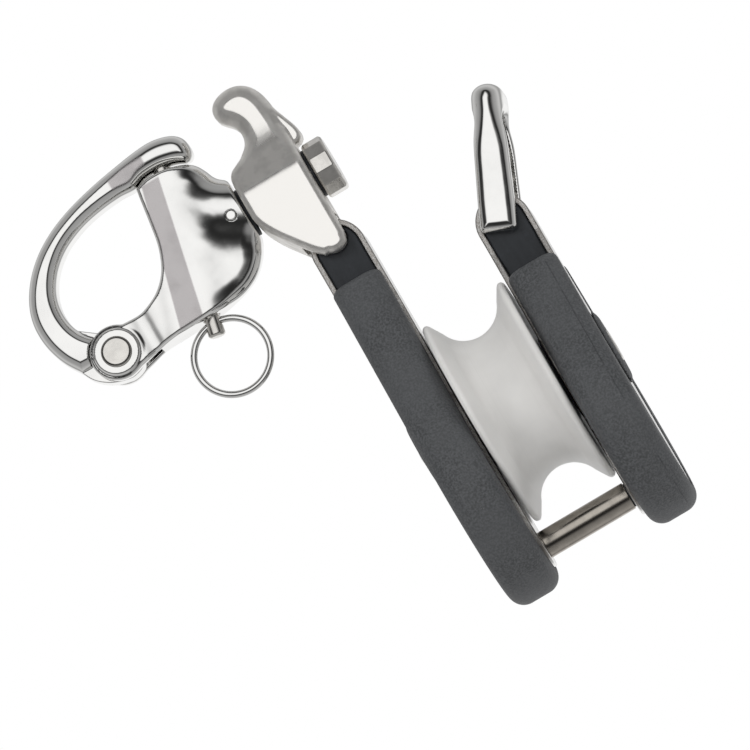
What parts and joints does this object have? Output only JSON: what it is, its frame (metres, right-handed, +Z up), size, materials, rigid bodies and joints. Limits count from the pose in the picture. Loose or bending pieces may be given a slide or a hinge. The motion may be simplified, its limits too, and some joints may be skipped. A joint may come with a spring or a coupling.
{
  "type": "snatch block with snap shackle",
  "caption": "Opening snatch block: sheave between rubber-covered cheeks, hinged forked head with horn and locking bail, and a swivel snap shackle with a gate, pull ring and plunger latch.",
  "frame": {"origin": "centre of the sheave, on its axle line", "axes": "+Z up the block from the sheave towards the head, +X along the sheave axle from the head-side cheek to the bail-side cheek, +Y across the block, away from the viewer who sees the head on the left"},
  "size_m": [0.1301, 0.059, 0.1496],
  "materials": {
    "polished_steel": "polished stainless steel",
    "brushed_steel": "brushed stainless steel",
    "turned_steel": "turned stainless steel",
    "pale_plastic": "smooth moulded acetal",
    "black_plastic": "satin moulded nylon",
    "soft_cover": "fine-grained soft elastomer"
  },
  "bodies": {
    "block": {"thrust_washers": "black_plastic", "axle_bolt": "polished_steel", "axle_nut": "brushed_steel", "left_strap": "polished_steel", "left_core": "black_plastic", "left_cover": "soft_cover", "right_strap": "polished_steel", "right_core": "black_plastic", "right_cover": "soft_cover", "spacer_tube": "turned_steel", "spacer_ring": "black_plastic", "spacer_rivet": "brushed_steel", "head_sleeve": "brushed_steel", "head_pin": "polished_steel", "bail_sleeve": "brushed_steel", "bail_pin": "polished_steel"},
    "sheave_body": {"sheave": "pale_plastic", "sheave_bush": "black_plastic"},
    "head_body": {"head": "polished_steel", "swivel_washers": "black_plastic"},
    "bail_body": {"bail": "polished_steel"},
    "shackle": {"shackle_body": "polished_steel", "swivel_bolt": "turned_steel", "dowel_pin": "brushed_steel", "gate_pin": "brushed_steel", "plunger_spring": "brushed_steel"},
    "gate_body": {"gate": "polished_steel"},
    "plunger_body": {"plunger": "brushed_steel"},
    "ring_body": {"pull_ring": "polished_steel"}
  },
  "joints": [
    {"name": "head_hinge", "type": "hinge", "parent": "block", "child": "head_body", "pos_m": [-0.0192, 0, 0.0578], "axis": [0, 1, 0], "range_deg": [-30, 91]},
    {"name": "bail_hinge", "type": "hinge", "parent": "block", "child": "bail_body", "pos_m": [0.0192, 0, 0.0423], "axis": [0, -1, 0], "range_deg": [-95, 33]},
    {"name": "swivel", "type": "hinge", "parent": "head_body", "child": "shackle", "pos_m": [-0.034, 0, 0.0758], "axis": [1, 0, 0], "continuous": true},
    {"name": "gate_hinge", "type": "hinge", "parent": "shackle", "child": "gate_body", "pos_m": [-0.0795, 0, 0.0613], "axis": [0, -1, 0], "range_deg": [0, 100]},
    {"name": "plunger_slide", "type": "slide", "parent": "shackle", "child": "plunger_body", "axis": [-0.1942, 0, -0.981], "range_m": [0, 0.0045], "stiffness_N_per_m": 600, "springref_m": -0.004, "deforming": ["plunger_spring"]},
    {"name": "ring_swing", "type": "hinge", "parent": "plunger_body", "child": "ring_body", "pos_m": [-0.05556, 0, 0.05618], "axis": [1, 0, 0], "range_deg": [-80, 80]},
    {"name": "sheave_spin", "type": "hinge", "parent": "block", "child": "sheave_body", "pos_m": [0, 0, 0], "axis": [1, 0, 0], "continuous": true}
  ]
}
